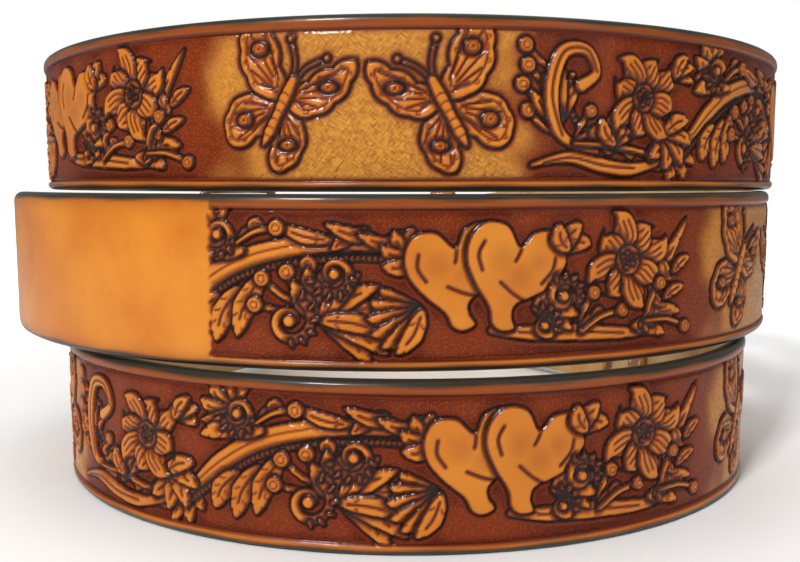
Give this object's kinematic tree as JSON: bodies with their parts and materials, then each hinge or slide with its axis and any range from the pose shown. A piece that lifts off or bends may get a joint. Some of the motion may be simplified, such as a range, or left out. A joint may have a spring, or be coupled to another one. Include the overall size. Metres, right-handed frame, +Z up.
{
  "type": "tooled leather belt stack",
  "caption": "Tooled leather belts closed into hoops and stacked on edge, each with a swinging buckle, a snapped fold and a sliding keeper.",
  "frame": {"origin": "centre of the floor outline, on the surface that the lowest belt stands on", "axes": "+Z up through the hoops, -Y the tooled front, +X to the right of the front; the closures are at the back, +Y"},
  "size_m": [0.2836, 0.2647, 0.1347],
  "materials": {
    "tooled_leather": "carved and stamped, antiqued and lacquered",
    "flap_leather": "skived, natural",
    "keeper_leather": "plain, dyed and burnished",
    "buckle_metal": "nickel plated casting, satin",
    "snap_metal": "nickel plated, polished"
  },
  "bodies": {
    "bottom_belt": {"bottom_strap": "tooled_leather", "bottom_snap_cap_1": "snap_metal", "bottom_snap_socket_1": "snap_metal", "bottom_snap_cap_2": "snap_metal", "bottom_snap_socket_2": "snap_metal"},
    "bottom_flap": {"bottom_flap": "flap_leather", "bottom_snap_stud_1": "snap_metal", "bottom_snap_post_1": "snap_metal", "bottom_snap_stud_2": "snap_metal", "bottom_snap_post_2": "snap_metal"},
    "bottom_frame": {"bottom_buckle_frame": "buckle_metal"},
    "bottom_prong": {"bottom_prong": "buckle_metal"},
    "bottom_keeper": {"bottom_keeper": "keeper_leather"},
    "middle_belt": {"middle_strap": "tooled_leather", "middle_snap_cap_1": "snap_metal", "middle_snap_socket_1": "snap_metal", "middle_snap_cap_2": "snap_metal", "middle_snap_socket_2": "snap_metal"},
    "middle_flap": {"middle_flap": "flap_leather", "middle_snap_stud_1": "snap_metal", "middle_snap_post_1": "snap_metal", "middle_snap_stud_2": "snap_metal", "middle_snap_post_2": "snap_metal"},
    "middle_frame": {"middle_buckle_frame": "buckle_metal"},
    "middle_prong": {"middle_prong": "buckle_metal"},
    "middle_keeper": {"middle_keeper": "keeper_leather"},
    "top_belt": {"top_strap": "tooled_leather", "top_snap_cap_1": "snap_metal", "top_snap_socket_1": "snap_metal", "top_snap_cap_2": "snap_metal", "top_snap_socket_2": "snap_metal"},
    "top_flap": {"top_flap": "flap_leather", "top_snap_stud_1": "snap_metal", "top_snap_post_1": "snap_metal", "top_snap_stud_2": "snap_metal", "top_snap_post_2": "snap_metal"},
    "top_frame": {"top_buckle_frame": "buckle_metal"},
    "top_prong": {"top_prong": "buckle_metal"},
    "top_keeper": {"top_keeper": "keeper_leather"}
  },
  "joints": [
    {"name": "bottom_flap_fold", "type": "hinge", "parent": "bottom_belt", "child": "bottom_flap", "pos_m": [0.04791, 0.1001, 0.02225], "axis": [0, 0, -1], "range_deg": [0, 120]},
    {"name": "bottom_frame_swing", "type": "hinge", "parent": "bottom_belt", "child": "bottom_frame", "pos_m": [0.05117, 0.10422, 0.02225], "axis": [0, 0, -1], "range_deg": [0, 60]},
    {"name": "bottom_prong_swing", "type": "hinge", "parent": "bottom_frame", "child": "bottom_prong", "pos_m": [0.05117, 0.10422, 0.02225], "axis": [0, 0, -1], "range_deg": [0, 75]},
    {"name": "bottom_keeper_slide", "type": "hinge", "parent": "bottom_belt", "child": "bottom_keeper", "pos_m": [-0.09654, -0.0283, 0.02225], "axis": [0, 0, 1], "range_deg": [-2.35, 5.53]},
    {"name": "middle_lift", "type": "slide", "parent": "bottom_belt", "child": "middle_belt", "axis": [0, 0, 1], "range_m": [0, 0.06]},
    {"name": "middle_flap_fold", "type": "hinge", "parent": "middle_belt", "child": "middle_flap", "pos_m": [-0.06647, 0.0996, 0.06755], "axis": [0, 0, -1], "range_deg": [0, 120]},
    {"name": "middle_frame_swing", "type": "hinge", "parent": "middle_belt", "child": "middle_frame", "pos_m": [-0.06897, 0.10422, 0.06755], "axis": [0, 0, -1], "range_deg": [0, 60]},
    {"name": "middle_prong_swing", "type": "hinge", "parent": "middle_frame", "child": "middle_prong", "pos_m": [-0.06897, 0.10422, 0.06755], "axis": [0, 0, -1], "range_deg": [0, 75]},
    {"name": "middle_keeper_slide", "type": "hinge", "parent": "middle_belt", "child": "middle_keeper", "pos_m": [-0.00733, -0.01741, 0.06755], "axis": [0, 0, 1], "range_deg": [-3.44, 8.9]},
    {"name": "top_lift", "type": "slide", "parent": "middle_belt", "child": "top_belt", "axis": [0, 0, 1], "range_m": [0, 0.06]},
    {"name": "top_flap_fold", "type": "hinge", "parent": "top_belt", "child": "top_flap", "pos_m": [0.08274, 0.09015, 0.11245], "axis": [0, 0, -1], "range_deg": [0, 120]},
    {"name": "top_frame_swing", "type": "hinge", "parent": "top_belt", "child": "top_frame", "pos_m": [0.08492, 0.09493, 0.11245], "axis": [0, 0, -1], "range_deg": [0, 60]},
    {"name": "top_prong_swing", "type": "hinge", "parent": "top_frame", "child": "top_prong", "pos_m": [0.08492, 0.09493, 0.11245], "axis": [0, 0, -1], "range_deg": [0, 75]},
    {"name": "top_keeper_slide", "type": "hinge", "parent": "top_belt", "child": "top_keeper", "pos_m": [0.02979, 0.03065, 0.11245], "axis": [0, 0, 1], "range_deg": [-4.46, 8.92]}
  ]
}
